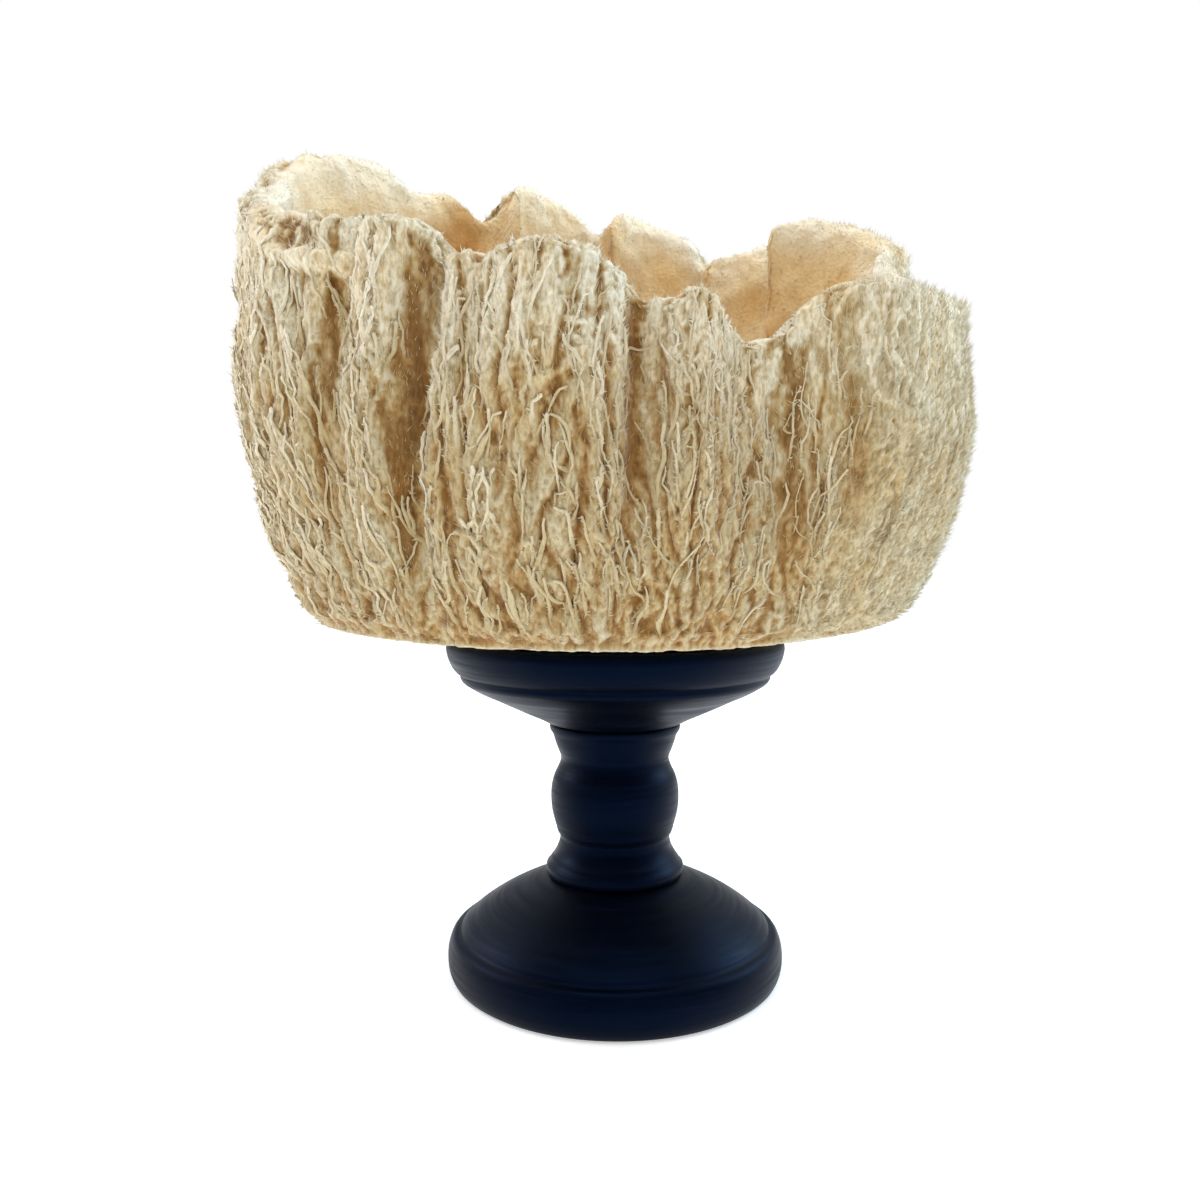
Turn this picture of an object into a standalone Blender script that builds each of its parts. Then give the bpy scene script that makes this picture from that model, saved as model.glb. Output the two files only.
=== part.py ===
"""Sea sponge on a turned wooden stand.

A cup-shaped natural sponge, trimmed flat underneath, rests on a small black pedestal that is turned
from three pieces of wood: a foot, a baluster stem and a dished top. Metres, +Z up. The origin is the
centre of the foot's flat underside. Azimuth 0 is +X, the right of the front view, and 270 is the front.
"""

import math

import bmesh
import bpy
import numpy as np
from mathutils import noise

MM = 0.001
GAP = 0.3  # between two touching pieces, in millimetres as all that follows

# The stand: a 4 inch pedestal.
STAND_HEIGHT = 101.6
STAND_RADIUS = 50.8
FOOT_TOP = 29.4
STEM_TOP = 76.3
COLLAR_RADIUS = 20.4
TENON_RADIUS = 6.0
TENON_LENGTH = 10.0
SOCKET_CLEARANCE = 1.0
TURNING_STEPS = 36

# The sponge: a plain oval that the wall folds about, a flat seat, and an underside that rises past it.
SEAT = STAND_HEIGHT + GAP
SEAT_RADIUS = 45.0
UNDERSIDE_LIFT = 7.0
UNDERSIDE_TILT = 0.25  # the right side is lifted by this share more, and the left by less
HALF_LEFT = 108.0
HALF_RIGHT = 101.0
HALF_FRONT = 75.0
HALF_REAR = 76.0
FLOOR = SEAT + 24.0
FLOOR_DISH = 3.0
RIM_THICKNESS = 12.0  # at the sides: the rear is thicker, and the front thinner, by the next value
RIM_REAR_MORE = 3.0
LIP_AZIMUTH = 300.0  # the low lip of the front is thinner still
LIP_LESS = 5.0
LIP_WIDTH = 7.0
FOOT_THICKNESS = 21.0
RIM_TURNS = (0.0, 45.0, 90.0, 135.0, 180.0)  # where the rim's rings lie on its round edge, outside to inside
FOOT_FOLD = 0.3  # share of a fold's depth that is left at the foot
CREASE_AZIMUTH = 236.0  # the deep crease of the front leans this far to the left as it goes down
CREASE_LEAN = 8.0
CREASE_WIDTH = 17.0
COLUMNS = 146
RIDGES = 36
RIDGE_HEIGHT = 1.6

# The rim, station by station: azimuth in degrees, how far the wall folds out of the plain oval, and the
# height of its top above the table. Each lobe swells outwards, and the pinches between them go in. The
# lobes of the rear overlap: seen from the front, each one's left end stands before its neighbour.
RIM = [
    (0, 0, 203), (7, 0, 212), (12.5, -4, 218), (18, 4, 229), (25, 5, 237), (31, 2, 241.5), (36, -4, 242),
    (39.5, -10, 239), (42.5, -1, 234), (46, 3, 237.5), (51, 2, 236.5), (56, -3, 233), (59.5, -8, 231),
    (62.5, 1, 231), (66, 4, 240), (72, 4, 244.5), (79, 4, 249), (85, 0, 250), (89, -6, 248), (92, -11, 245),
    (95, 1, 242.5), (99, 5, 250.5), (106, 5, 256), (113, 2, 258.5), (118, -2, 258.5), (122, -7, 257),
    (125, -12, 254), (127.5, 2, 246), (131, 5, 253), (138, 6, 256), (145, 4, 255.5), (152, 0, 259),
    (160, -3, 259), (168, 1, 255), (176, 2, 246), (182, -1, 238), (188, 1, 231), (194, 0, 225),
    (200, 1, 219.5), (206, 1, 216), (212, 0, 214), (217, 0, 212), (221, -4, 209.5), (225, -1, 210),
    (229.5, 2, 209), (233.5, 4, 207), (236, 0, 204.5), (238, -6, 198.5), (240.5, -2, 198.5), (243.5, 1, 199.5),
    (246.3, 0, 196.5), (249, 2, 198), (253, 5, 199), (259, 6.5, 199.5), (264, 5, 198), (268, 3, 195.5),
    (271, 0, 193), (274, -5, 189.5), (277, -5, 187), (280, -1, 186.5), (283, 3, 189), (286, 3, 189.5),
    (289, -1, 187), (291.5, -5, 184), (294.5, -8, 180.5), (299, -9, 178.5), (303, -9, 179.5), (305.8, -2, 187),
    (308, 3, 191), (312, 8, 193), (318, 8, 193.5), (326, 5, 194.5), (337, 3, 195.5), (348, 1, 199),
]

# How the wall stands, from its foot to its rim: share of the height, and share of the rim's radius.
WALL = [
    (0.0, 0.815), (0.04, 0.865), (0.12, 0.905), (0.2, 0.94), (0.32, 0.98), (0.46, 1.01), (0.6, 1.025), (0.8, 1.01),
    (1.0, 1.0),
]
# Share of the height at which each ring of the outer wall and of the cup's inside lies.
OUTER_RINGS = (0.04, 0.11, 0.2, 0.31, 0.42, 0.53, 0.64, 0.75, 0.86)
INNER_RINGS = (0.8, 0.6, 0.4, 0.2, 0.06)


def clear_scene():
    for item in list(bpy.data.objects):
        bpy.data.objects.remove(item)


def collection(name):
    made = bpy.data.collections.new(name)
    bpy.context.scene.collection.children.link(made)
    return made


def material(name, colour, roughness):
    made = bpy.data.materials.new(name)
    made.use_nodes = True
    shader = made.node_tree.nodes["Principled BSDF"]
    shader.inputs["Base Color"].default_value = (*colour, 1.0)
    shader.inputs["Roughness"].default_value = roughness
    shader.inputs["Metallic"].default_value = 0.0
    return made


def turned(name, profile, finish, home):
    """A lathe-turned piece from its outline, (radius, height) pairs down the outer side and back to the axis."""
    mesh = bpy.data.meshes.new(name)
    points = [(radius * MM, 0.0, height * MM) for radius, height in profile]
    mesh.from_pydata(points, [(i, i + 1) for i in range(len(points) - 1)], [])
    mesh.materials.append(finish)
    piece = bpy.data.objects.new(name, mesh)
    home.objects.link(piece)
    screw = piece.modifiers.new("Turning", "SCREW")
    screw.axis = "Z"
    screw.steps = screw.render_steps = TURNING_STEPS
    screw.use_merge_vertices = True
    screw.merge_threshold = 0.00005
    screw.use_smooth_shade = True


def stand_top(finish, home):
    """The dished top: a flat face for the sponge, a rounded edge, a ring line and a cone down to the stem."""
    socket = STEM_TOP + TENON_LENGTH + SOCKET_CLEARANCE
    bore = TENON_RADIUS + GAP
    turned("stand_top", [
        (0, STAND_HEIGHT), (49.8, STAND_HEIGHT), (STAND_RADIUS, 100.2), (50.6, 97.6), (49.7, 94.8), (48.2, 92.2),
        (46.9, 90.9), (46.3, 89.8), (43.9, 87.9), (28.4, 80.3), (COLLAR_RADIUS, STEM_TOP),
        (bore, STEM_TOP), (bore, socket), (0, socket),
    ], finish, home)


def stand_stem(finish, home):
    """The baluster: a ringed neck, a bulb, and a skirt that ends in a bead. A tenon at each end."""
    top = STEM_TOP - GAP
    bottom = FOOT_TOP + GAP
    turned("stand_stem", [
        (0, top + TENON_LENGTH), (TENON_RADIUS, top + TENON_LENGTH), (TENON_RADIUS, top), (19.8, top),
        (19.5, 74.2), (18.9, 73.6), (18.5, 71.2), (17.4, 68.2), (16.4, 65.4), (17.0, 62.9), (18.3, 60.4),
        (19.2, 57.4), (19.5, 53.6), (19.1, 49.0), (18.0, 45.0), (16.8, 41.6), (17.2, 38.4), (18.5, 35.7),
        (19.9, 33.9), (20.8, 32.6), (COLLAR_RADIUS, bottom), (TENON_RADIUS, bottom),
        (TENON_RADIUS, bottom - TENON_LENGTH), (0, bottom - TENON_LENGTH),
    ], finish, home)


def stand_foot(finish, home):
    """The foot: a dome that spreads from the stem to a ring line and a round edge, and a flat underside."""
    socket = FOOT_TOP - TENON_LENGTH - SOCKET_CLEARANCE
    bore = TENON_RADIUS + GAP
    turned("stand_foot", [
        (0, socket), (bore, socket), (bore, FOOT_TOP), (21.2, FOOT_TOP), (30.5, 25.2), (38.5, 20.7), (44.4, 16.4),
        (46.6, 14.1), (47.7, 14.3), (48.9, 13.0), (50.2, 10.4), (STAND_RADIUS, 6.4), (50.3, 2.8), (48.6, 0.5),
        (47.6, 0), (0, 0),
    ], finish, home)


def around(azimuth, column):
    """A column of the rim's table at each azimuth, as a smooth closed curve through its stations."""
    stations = np.array(RIM, float)
    angle = np.concatenate([stations[-2:, 0] - 360, stations[:, 0], stations[:2, 0] + 360])
    value = np.concatenate([stations[-2:, column], stations[:, column], stations[:2, column]])
    slope = np.gradient(value, angle)
    azimuth = azimuth % 360
    after = np.searchsorted(angle, azimuth, side="right")
    before = after - 1
    span = angle[after] - angle[before]
    t = (azimuth - angle[before]) / span
    return (
        value[before] * (1 + 2 * t) * (1 - t) ** 2
        + value[after] * t * t * (3 - 2 * t)
        + slope[before] * span * t * (1 - t) ** 2
        - slope[after] * span * t * t * (1 - t)
    )


def smooth(low, high, value):
    t = np.clip((value - low) / (high - low), 0, 1)
    return t * t * (3 - 2 * t)


def oval(azimuth):
    """Radius of the plain oval that the rim folds about."""
    across, along = np.cos(np.radians(azimuth)), np.sin(np.radians(azimuth))
    half_x = np.where(across > 0, HALF_RIGHT, HALF_LEFT)
    half_y = np.where(along > 0, HALF_REAR, HALF_FRONT)
    return 1 / np.hypot(across / half_x, along / half_y)


def wall_radius(azimuth, share):
    """Outer radius of the wall at this share of its height. The folds are deepest at the rim."""
    shares, factors = zip(*WALL)
    lean = CREASE_LEAN * (1 - share) * np.exp(-(((azimuth - CREASE_AZIMUTH) / CREASE_WIDTH) ** 2))
    fold = around(azimuth + lean, 1) * (FOOT_FOLD + (1 - FOOT_FOLD) * smooth(0.1, 0.8, share))
    return np.interp(share, shares, factors) * oval(azimuth) + fold


def rim_thickness(azimuth):
    """Thickness of the wall just below its rim, whose edge is half a round of this width."""
    lip = LIP_LESS * np.exp(-(((azimuth - LIP_AZIMUTH) / LIP_WIDTH) ** 2))
    return RIM_THICKNESS + RIM_REAR_MORE * np.sin(np.radians(azimuth)) - lip


def ridges(azimuth, share):
    """The coarse upright ridges of the outer wall, which wander as they rise and fade towards both ends."""
    turn = np.radians(azimuth)
    wander = np.array([noise.noise((3 * math.cos(a), 3 * math.sin(a), 1.5 * share)) for a in turn])
    fade = smooth(0.0, 0.15, share) * (1 - 0.6 * smooth(0.75, 1.0, share))
    return RIDGE_HEIGHT * fade * np.cos(RIDGES * turn + 4 * wander)


def even_columns():
    """Azimuths of the columns, evenly spaced along the folded rim, so that steep folds get enough of them."""
    fine = np.arange(0, 360.25, 0.25)
    turn = np.radians(fine)
    radius = wall_radius(fine, 1.0)
    rim = np.stack([radius * np.cos(turn), radius * np.sin(turn), around(fine, 2)])
    length = np.concatenate([[0], np.cumsum(np.linalg.norm(np.diff(rim, axis=1), axis=0))])
    return np.interp(np.arange(COLUMNS) / COLUMNS * length[-1], length, fine)


def rings(azimuth):
    """Radius and height of every ring, from the seat's edge over the rim to the cup's floor."""
    top = around(azimuth, 2)
    base = wall_radius(azimuth, 0.0)
    tilt = 1 + UNDERSIDE_TILT * np.cos(np.radians(azimuth))
    foot = SEAT + UNDERSIDE_LIFT * tilt * np.clip((base - SEAT_RADIUS) / SEAT_RADIUS, 0, 1) ** 1.6
    rise = top - foot
    flat = np.ones_like(azimuth)
    made = [(SEAT_RADIUS * flat, SEAT * flat), (base, foot)]
    made += [(wall_radius(azimuth, share) + ridges(azimuth, share), foot + share * rise) for share in OUTER_RINGS]
    rim = wall_radius(azimuth, 1.0)
    half = rim_thickness(azimuth) / 2
    for turn in np.radians(RIM_TURNS):
        made.append((rim - half + half * math.cos(turn), top - half + half * math.sin(turn)))
    for share in INNER_RINGS:
        thickness = 2 * half + (FOOT_THICKNESS - 2 * half) * (1 - share) ** 1.5
        height = FLOOR + share * (top - half - FLOOR)
        outer = np.array([wall_radius(a, h) for a, h in zip(azimuth, (height - foot) / rise)])
        made.append((outer - thickness, height))
    made.append((0.6 * made[-1][0], (FLOOR - 0.7 * FLOOR_DISH) * flat))
    return made


def sponge(finish, home):
    """The sponge, one solid: a sphere's rings and columns laid onto the cup's rings."""
    azimuth = even_columns()
    laid = rings(azimuth)
    last = len(laid) + 1
    form = bmesh.new()
    bmesh.ops.create_uvsphere(form, u_segments=COLUMNS, v_segments=last, radius=1.0)
    for vertex in form.verts:
        x, y, z = vertex.co
        ring = round(math.acos(max(-1.0, min(1.0, -z))) / math.pi * last)
        if ring in (0, last):
            vertex.co = (0, 0, (SEAT if ring == 0 else FLOOR - FLOOR_DISH) * MM)
            continue
        column = round(math.atan2(y, x) * COLUMNS / (2 * math.pi)) % COLUMNS
        turn = math.radians(azimuth[column])
        radius, height = (values[column] for values in laid[ring - 1])
        vertex.co = (radius * math.cos(turn) * MM, radius * math.sin(turn) * MM, height * MM)
    bmesh.ops.triangulate(form, faces=form.faces)
    bmesh.ops.recalc_face_normals(form, faces=form.faces)
    mesh = bpy.data.meshes.new("sponge")
    form.to_mesh(mesh)
    form.free()
    mesh.shade_smooth()
    mesh.materials.append(finish)
    home.objects.link(bpy.data.objects.new("sponge", mesh))


def main():
    clear_scene()
    home = collection("Sea sponge on a stand")
    straw = material("sponge", (0.74, 0.61, 0.40), 0.95)
    ebonised = material("ebonised wood", (0.012, 0.016, 0.035), 0.45)
    sponge(straw, home)
    stand_top(ebonised, home)
    stand_stem(ebonised, home)
    stand_foot(ebonised, home)


main()
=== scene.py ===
"""Looks of the sea sponge on its turned stand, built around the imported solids.

The sponge is one fine skin, in four wedges, with strands, cords and locks raised out of its grooves. Over
it grow free cords with down, and a short nap, all as joined meshes. The stand's three turned pieces are cut
again at a finer step.
Named values and forms are in millimetres, and turn into metres as they become mesh. Azimuth 0 is +X, the
right of the front view, and 270 is the front. A share is a place's part of the wall's height. Where strands
are made, a and s are the azimuth and share of their points, and t runs from 0 at the root to 1 at the tip.
"""

import math
from itertools import product

import bpy
import numpy as np
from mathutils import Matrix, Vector


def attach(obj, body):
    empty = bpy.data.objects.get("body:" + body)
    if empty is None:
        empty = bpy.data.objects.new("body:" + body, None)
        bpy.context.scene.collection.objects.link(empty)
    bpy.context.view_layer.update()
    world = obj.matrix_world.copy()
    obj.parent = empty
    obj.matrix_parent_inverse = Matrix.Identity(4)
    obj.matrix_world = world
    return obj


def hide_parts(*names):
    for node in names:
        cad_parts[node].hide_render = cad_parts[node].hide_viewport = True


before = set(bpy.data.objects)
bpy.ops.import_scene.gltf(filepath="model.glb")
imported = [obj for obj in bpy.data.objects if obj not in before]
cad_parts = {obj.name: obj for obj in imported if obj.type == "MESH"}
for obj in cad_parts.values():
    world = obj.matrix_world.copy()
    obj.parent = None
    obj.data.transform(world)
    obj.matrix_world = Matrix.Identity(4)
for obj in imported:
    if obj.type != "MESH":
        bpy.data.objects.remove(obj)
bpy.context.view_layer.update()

MM = 0.001
SEED = 20

# The stand, as in the solids.
STAND_HEIGHT = 101.6
TURNING_STEPS = 128
PROFILE_STEP = 1.1  # between two points of a turned profile

# The sponge's form, as in the solids.
SEAT = STAND_HEIGHT + 0.3
SEAT_RADIUS = 45.0
UNDERSIDE_LIFT = 7.0
UNDERSIDE_TILT = 0.25
HALF_LEFT = 108.0
HALF_RIGHT = 101.0
HALF_FRONT = 75.0
HALF_REAR = 76.0
FLOOR = SEAT + 24.0
FLOOR_DISH = 3.0
RIM_THICKNESS = 12.0
RIM_REAR_MORE = 3.0
LIP_AZIMUTH = 300.0
LIP_LESS = 5.0
LIP_WIDTH = 7.0
FOOT_THICKNESS = 21.0
FOOT_FOLD = 0.3
CREASE_AZIMUTH = 236.0
CREASE_LEAN = 8.0
CREASE_WIDTH = 17.0

# The rim, station by station: azimuth in degrees, how far the wall folds out of the plain oval, and the
# height of its top above the table.
RIM = [
    (0, 0, 203), (7, 0, 212), (12.5, -4, 218), (18, 4, 229), (25, 5, 237), (31, 2, 241.5), (36, -4, 242),
    (39.5, -10, 239), (42.5, -1, 234), (46, 3, 237.5), (51, 2, 236.5), (56, -3, 233), (59.5, -8, 231),
    (62.5, 1, 231), (66, 4, 240), (72, 4, 244.5), (79, 4, 249), (85, 0, 250), (89, -6, 248), (92, -11, 245),
    (95, 1, 242.5), (99, 5, 250.5), (106, 5, 256), (113, 2, 258.5), (118, -2, 258.5), (122, -7, 257),
    (125, -12, 254), (127.5, 2, 246), (131, 5, 253), (138, 6, 256), (145, 4, 255.5), (152, 0, 259),
    (160, -3, 259), (168, 1, 255), (176, 2, 246), (182, -1, 238), (188, 1, 231), (194, 0, 225),
    (200, 1, 219.5), (206, 1, 216), (212, 0, 214), (217, 0, 212), (221, -4, 209.5), (225, -1, 210),
    (229.5, 2, 209), (233.5, 4, 207), (236, 0, 204.5), (238, -6, 198.5), (240.5, -2, 198.5),
    (243.5, 1, 199.5), (246.3, 0, 196.5), (249, 2, 198), (253, 5, 199), (259, 6.5, 199.5), (264, 5, 198),
    (268, 3, 195.5), (271, 0, 193), (274, -5, 189.5), (277, -5, 187), (280, -1, 186.5), (283, 3, 189),
    (286, 3, 189.5), (289, -1, 187), (291.5, -5, 184), (294.5, -8, 180.5), (299, -9, 178.5),
    (303, -9, 179.5), (305.8, -2, 187),
    (308, 3, 191), (312, 8, 193), (318, 8, 193.5), (326, 5, 194.5), (337, 3, 195.5), (348, 1, 199),
]
FOLD, TOP = 1, 2  # the columns of the rim's table

# How the wall stands, from its foot to its rim: share of the height, and share of the rim's radius.
WALL = [
    (0.0, 0.815), (0.04, 0.865), (0.12, 0.905), (0.2, 0.94), (0.32, 0.98), (0.46, 1.01), (0.6, 1.025),
    (0.8, 1.01), (1.0, 1.0),
]

# The sponge's skin.
SIDES = ("right", "back", "left", "front")
SKIN_COLUMNS = 1080
OUTER_RINGS = 190
RIM_RINGS = 30
INNER_RINGS = 34
FLOOR_RINGS = 14
INNER_STEP = 1.5  # how much closer the inside's rings lie near the rim
LOWEST = 0.004  # the share at which the outer wall starts
DEEPEST = 2.4  # how far the skin's ground lies under the broad relief
TONE_DEPTH = 3.8  # how far down in the grooves the painted shade turns the colour to amber
TONE_BAND = 0.03  # how wide a strand is across its UV
UNDER_TONE = (0.72, 0, 0)  # the tone of the underside, plain straw
MIDDLE_TONE = (0.25, 0, 1)  # the tone of the middle of the cup's floor, darkest there as painted shade deep in the cup
BLUR_REACH = 5  # how many neighbours to each side a running mean takes
SEAT_RING_SHARES = (0.5, 1.0)  # the rings of the flat seat, as shares of its radius
UNDER_RING_SHARES = (0.33, 0.67, 0.95)  # the rings between the seat and the wall's foot
UNDER_LUMPS = 1.2
FLOOR_LUMPS = 2.4
LUMP_DEEP, FOLD_DEEP, BUMP_DEEP = 1.2, 2.2, 0.25  # the soft relief of the rim and the inside
LOCAL_CONTRAST = 0.55  # painted shade in the gaps: how much paler a strand is painted than the gaps beside it, for each millimetre
LOWER_DARKER = 0.38  # how much the tone falls towards the foot: partly painted shade of the lower wall, partly the sponge's own paler growing rim
FLOW = 18  # how far the strands lean together, in degrees
FLOW_SCALE = (30, 30, 40)  # over what distances they do
GROOVE_SCALE = (7.5, 7.5, 40)  # how wide and long the wall's grooves are
GROOVE_DEPTH = 2.6
DENT_DEPTH = 1.2
WALL_SHADING = 0.3  # how far the strands are shaded as the wall under them, which gives a soft look

# How many strands there are of each kind. The first three are raised out of the skin.
SLIM_STRANDS = 12000
THICK_CORDS = 2700
LOCKS = 640
FREE_CORDS = 1700
DOWN_HAIRS = 12000
NAP_HAIRS = 37000
CORD_SIDES = 3
LARGEST_AREA = 600  # a place's chance to hold a strand is its area over this one, about the most at a fold

# Long creases of the front: low end and high end as (azimuth, share), depth, and width in degrees.
CREASES = [
    ((230.5, 0.2), (236.5, 0.93), 3.4, 1.7),
    ((273.0, 0.3), (274.5, 0.97), 2.8, 1.6),
    ((304.5, 0.25), (304.0, 0.88), 3.0, 1.6),
    ((311.8, 0.35), (308.5, 0.7), 2.4, 2.0),
    ((216.0, 0.35), (219.0, 0.8), 2.4, 1.4),
]
# Painted shade in the recesses of the inside, between its pale lobes: azimuth, width in degrees, and how far
# the shade turns it to gold, paler where this is below 0.
RECESSES = [(132.0, 7.0, 0.75), (92.0, 3.5, 0.5), (60.0, 3.0, 0.4), (39.5, 3.0, 0.4), (190.0, 18.0, -0.3)]
# The hollow under the front rim's left end, and the parts of the rope-like roll below it, as (azimuth,
# share).
HOLLOW_AZIMUTH = 210.5
HOLLOW_SHARE = 0.945
HOLLOW_HALF_WIDTH = 5  # in degrees
HOLLOW_HALF_HEIGHT = 0.045  # as a share
HOLLOW_DEPTH = 5
ROLL = [
    ((201.5, 0.95), (208.5, 0.905)), ((205.5, 0.925), (212.5, 0.885)), ((210.0, 0.895), (217.0, 0.875)),
    ((214.5, 0.88), (220.5, 0.888)),
]
# Blunt fingers of the front rim: azimuth, share at root and tip, thickness, and how far they stand out.
FINGERS = [
    (233.2, 0.86, 0.99, 2.3, 1.0), (234.6, 0.86, 0.99, 2.1, 1.2), (235.8, 0.84, 0.99, 2.3, 1.0),
    (234.3, 0.74, 0.9, 2.2, 1.6), (235.6, 0.7, 0.92, 2.2, 1.6), (232.4, 0.7, 0.86, 2.1, 1.2),
    (220.3, 0.84, 0.92, 1.9, 1.0), (222.3, 0.82, 0.915, 1.9, 1.0), (227.0, 0.84, 0.95, 1.9, 0.8),
    (206.5, 0.9, 0.955, 1.2, 2.5), (208.6, 0.89, 0.945, 1.1, 2.3), (211.0, 0.88, 0.95, 1.2, 2.5),
    (304.9, 0.86, 0.99, 1.8, 1.2), (306.2, 0.84, 0.99, 1.7, 0.8),
]
ROLL_THICKNESS = 2.2
ROLL_STAND_OUT = 2.6

# The camera, at the photo's place: its place in metres, how far it looks down and turns, and its lens.
CAMERA_PLACE = (0, -0.303, 0.1282)
CAMERA_DOWN = 2.862
CAMERA_TURN = 0.859
CAMERA_LENS = 30
CAMERA_SENSOR = 36

# The lights: name, azimuth, elevation, distance and width in metres, power in watts, and colour.
LIGHTS = [
    ("key", 255, 55, 1.0, 1.2, 1.0, (1.0, 0.99, 0.97)),
    ("fill", 320, 12, 1.1, 0.5, 0.3, (0.75, 0.87, 1.0)),
    ("edge left", 165, 22, 0.9, 0.5, 3.0, (0.88, 0.9, 1.0)),
    ("edge right", 18, 22, 0.9, 0.5, 4.8, (0.5, 0.78, 1.0)),
    ("top", 270, 80, 1.0, 0.9, 6.4, (1.0, 1.0, 1.0)),
]
LIGHTS_AIM = (0, 0, 0.15)


def smooth(low, high, value):
    t = np.clip((value - low) / (high - low), 0, 1)
    return t * t * (3 - 2 * t)


def unit(vectors):
    return vectors / np.linalg.norm(vectors, axis=-1, keepdims=True)


def gradient_noise(points, seed):
    """Smooth noise from about -1 to 1 at each point, the same on every run."""
    rng = np.random.default_rng(seed)
    order = np.tile(rng.permutation(256), 2)
    gradients = unit(rng.normal(size=(256, 3)))
    cell = np.floor(points).astype(int)
    local = points - cell
    fade = local ** 3 * (local * (local * 6 - 15) + 10)
    total = np.zeros(points.shape[:-1])
    for corner in product((0, 1), repeat=3):
        at = (cell + corner) & 255
        index = order[order[order[at[..., 0]] + at[..., 1]] + at[..., 2]]
        weight = np.prod(np.where(corner, fade, 1 - fade), axis=-1)
        total += weight * np.sum(gradients[index] * (local - corner), axis=-1)
    return 1.5 * total


def curve(value, slope, before, part, span):
    """A smooth curve through values with slopes, at a part of the span after each of these values."""
    return (
        value[before] * (1 + 2 * part) * (1 - part) ** 2
        + value[before + 1] * part * part * (3 - 2 * part)
        + slope[before] * span * part * (1 - part) ** 2
        - slope[before + 1] * span * part * part * (1 - part)
    )


def around(azimuth, column):
    """A column of the rim's table at each azimuth, as a smooth closed curve through its stations."""
    stations = np.array(RIM, float)
    angle = np.concatenate([stations[-2:, 0] - 360, stations[:, 0], stations[:2, 0] + 360])
    value = np.concatenate([stations[-2:, column], stations[:, column], stations[:2, column]])
    slope = np.gradient(value, angle)
    azimuth = azimuth % 360
    before = np.searchsorted(angle, azimuth, side="right") - 1
    span = angle[before + 1] - angle[before]
    return curve(value, slope, before, (azimuth - angle[before]) / span, span)


def wall_radius(azimuth, share):
    """Outer radius of the wall at this share of its height."""
    azimuth = azimuth % 360
    turn = np.radians(azimuth)
    half_x = np.where(np.cos(turn) > 0, HALF_RIGHT, HALF_LEFT)
    half_y = np.where(np.sin(turn) > 0, HALF_REAR, HALF_FRONT)
    oval = 1 / np.hypot(np.cos(turn) / half_x, np.sin(turn) / half_y)
    shares, factors = zip(*WALL)
    lean = CREASE_LEAN * (1 - share) * np.exp(-(((azimuth - CREASE_AZIMUTH) / CREASE_WIDTH) ** 2))
    fold = around(azimuth + lean, FOLD) * (FOOT_FOLD + (1 - FOOT_FOLD) * smooth(0.1, 0.8, share))
    return np.interp(share, shares, factors) * oval + fold


def rim_thickness(azimuth):
    """Thickness of the wall just below its rim, whose edge is half a round of this width."""
    lip = LIP_LESS * np.exp(-(((azimuth - LIP_AZIMUTH) / LIP_WIDTH) ** 2))
    return RIM_THICKNESS + RIM_REAR_MORE * np.sin(np.radians(azimuth)) - lip


def wall_foot(azimuth):
    """Height of the wall's foot, where the underside has risen from the flat seat."""
    base = wall_radius(azimuth, 0.0 * azimuth)
    tilt = 1 + UNDERSIDE_TILT * np.cos(np.radians(azimuth))
    return SEAT + UNDERSIDE_LIFT * tilt * np.clip((base - SEAT_RADIUS) / SEAT_RADIUS, 0, 1) ** 1.6


def cylinder(azimuth, radius, height):
    """Points from azimuth, radius and height."""
    turn = np.radians(azimuth)
    return np.stack(np.broadcast_arrays(radius * np.cos(turn), radius * np.sin(turn), height), axis=-1)


def past_ridge(azimuth, share):
    """How far a place lies past the top of the outer wall, along the surface, and half the rim's width."""
    half = rim_thickness(azimuth) / 2
    tall = around(azimuth, TOP) - wall_foot(azimuth)
    return np.maximum(share * tall - (tall - half), 0), half


def wall_point(azimuth, share):
    """A point of the surface. The share climbs the outer wall, then goes over the rim and down inside."""
    foot = wall_foot(azimuth)
    top = around(azimuth, TOP)
    past, half = past_ridge(azimuth, share)
    turn = np.minimum(past / half, math.pi)
    down = np.maximum(past - math.pi * half, 0)
    level = np.minimum(foot + share * (top - foot), top - half) - down
    deep = np.clip(down / (top - half - FLOOR), 0, 1) ** 1.5
    radius = wall_radius(azimuth, (level - foot) / (top - foot)) - half * (1 - np.cos(turn))
    return cylinder(azimuth, radius - (FOOT_THICKNESS - 2 * half) * deep, level + half * np.sin(turn))


def wall_frame(azimuth, share):
    """The wall's point and outward normal, and its millimetres to a degree and to the whole height."""
    turn, rise = 0.6, 0.01
    sideways = (wall_point(azimuth + turn, share) - wall_point(azimuth - turn, share)) / (2 * turn)
    upwards = (wall_point(azimuth, share + rise) - wall_point(azimuth, share - rise)) / (2 * rise)
    return (
        wall_point(azimuth, share), unit(np.cross(sideways, upwards)),
        np.linalg.norm(sideways, axis=-1), np.linalg.norm(upwards, axis=-1),
    )


def velvet(azimuth):
    """1 on the right lobe, whose wall is close and velvety, and 0 where cords cover the wall."""
    azimuth = azimuth % 360
    return np.maximum(smooth(303, 313, azimuth), 1 - smooth(26, 44, azimuth))


def creases(azimuth, share):
    """Depth of the long creases that part the lobes of the front."""
    depth = 0
    for (azimuth_low, share_low), (azimuth_high, share_high), deep, width in CREASES:
        t = np.clip((share - share_low) / (share_high - share_low), 0, 1)
        along = azimuth_low + t * (azimuth_high - azimuth_low)
        off = ((azimuth - along + 180) % 360 - 180) / width
        start = smooth(share_low - 0.1, share_low + 0.1, share)
        ends = start * (1 - smooth(share_high, share_high + 0.08, share))
        depth = np.maximum(depth, deep * np.exp(-off * off) * ends)
    return depth


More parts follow.
